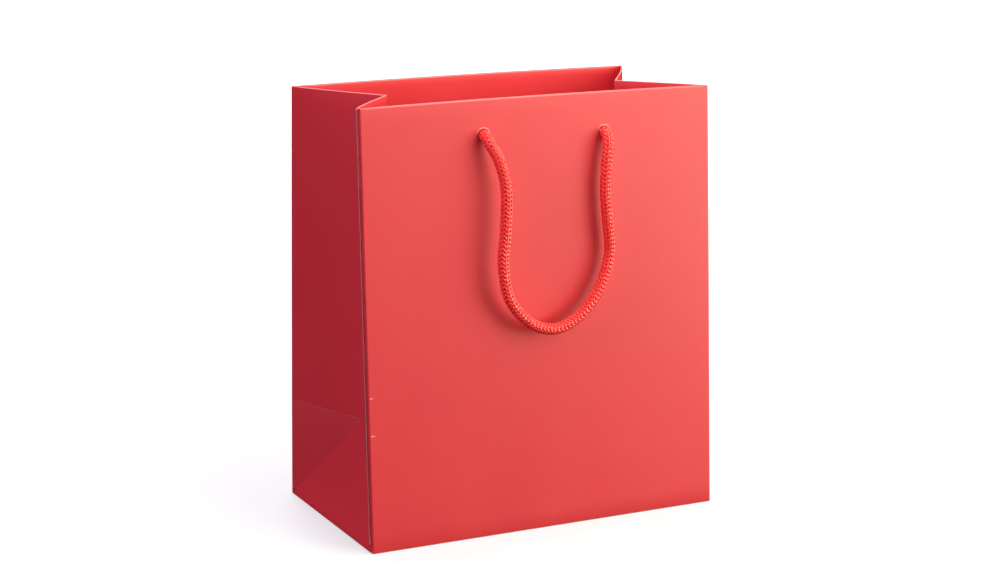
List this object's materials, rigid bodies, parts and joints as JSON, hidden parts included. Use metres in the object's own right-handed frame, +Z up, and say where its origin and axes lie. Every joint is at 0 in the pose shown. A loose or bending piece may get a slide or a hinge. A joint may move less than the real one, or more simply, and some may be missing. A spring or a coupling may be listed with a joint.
{
  "type": "gift bag",
  "caption": "Upright rectangular paper gift bag with creased side gussets, folded glued base, stiffened turned-in top hem and a knotted rope handle hanging on its front panel.",
  "frame": {"origin": "centre of the bag's base, on the surface it stands on", "axes": "+Z up, -Y towards the front panel with the hanging handle, +X to the right as the front is faced"},
  "size_m": [0.185, 0.1136, 0.2098],
  "materials": {
    "red_paper": "coral red printed art paper with a satin film, pale where its edge is cut",
    "grey_board": "bare grey stiffening board",
    "red_board": "red paper faced board, matte",
    "red_rope": "round knitted polyester rope with a soft sheen"
  },
  "bodies": {
    "bag": {"base_board": "red_board", "base_flap_front": "red_paper", "base_flap_back": "red_paper", "base_flap_left": "red_paper", "base_flap_right": "red_paper", "left_gusset_foot": "red_paper", "right_gusset_foot": "red_paper", "left_gusset_front_low": "red_paper", "left_gusset_back_low": "red_paper", "right_gusset_front_low": "red_paper", "right_gusset_back_low": "red_paper", "left_gusset_front": "red_paper", "left_gusset_back": "red_paper", "right_gusset_front": "red_paper", "right_gusset_back": "red_paper", "left_gusset_hem_front": "red_paper", "left_gusset_hem_back": "red_paper", "right_gusset_hem_front": "red_paper", "right_gusset_hem_back": "red_paper", "side_seam_flap": "red_paper"},
    "front": {"front_panel": "red_paper", "front_hem_board": "grey_board", "front_hem": "red_paper", "handle_knot_left": "red_rope", "handle_knot_right": "red_rope", "handle_tail_left": "red_rope", "handle_tail_right": "red_rope"},
    "back": {"back_panel": "red_paper", "back_hem_board": "grey_board", "back_hem": "red_paper"},
    "handle": {"handle_rope": "red_rope"}
  },
  "joints": [
    {"name": "front_mouth", "type": "hinge", "parent": "bag", "child": "front", "pos_m": [0, -0.053, 0], "axis": [-1, 0, 0], "range_deg": [-2.5, 6], "deforming": ["left_gusset_front", "left_gusset_front_low", "left_gusset_hem_front", "right_gusset_front", "right_gusset_front_low", "right_gusset_hem_front", "side_seam_flap"]},
    {"name": "back_mouth", "type": "hinge", "parent": "bag", "child": "back", "pos_m": [0, 0.053, 0], "axis": [1, 0, 0], "range_deg": [-2.5, 6], "deforming": ["left_gusset_back", "left_gusset_back_low", "left_gusset_hem_back", "right_gusset_back", "right_gusset_back_low", "right_gusset_hem_back"]},
    {"name": "handle_swing", "type": "hinge", "parent": "front", "child": "handle", "pos_m": [0.002, -0.04734, 0.19229], "axis": [-0.9991, 0.0019, 0.0421], "range_deg": [0, 165], "deforming": ["handle_rope"]}
  ]
}
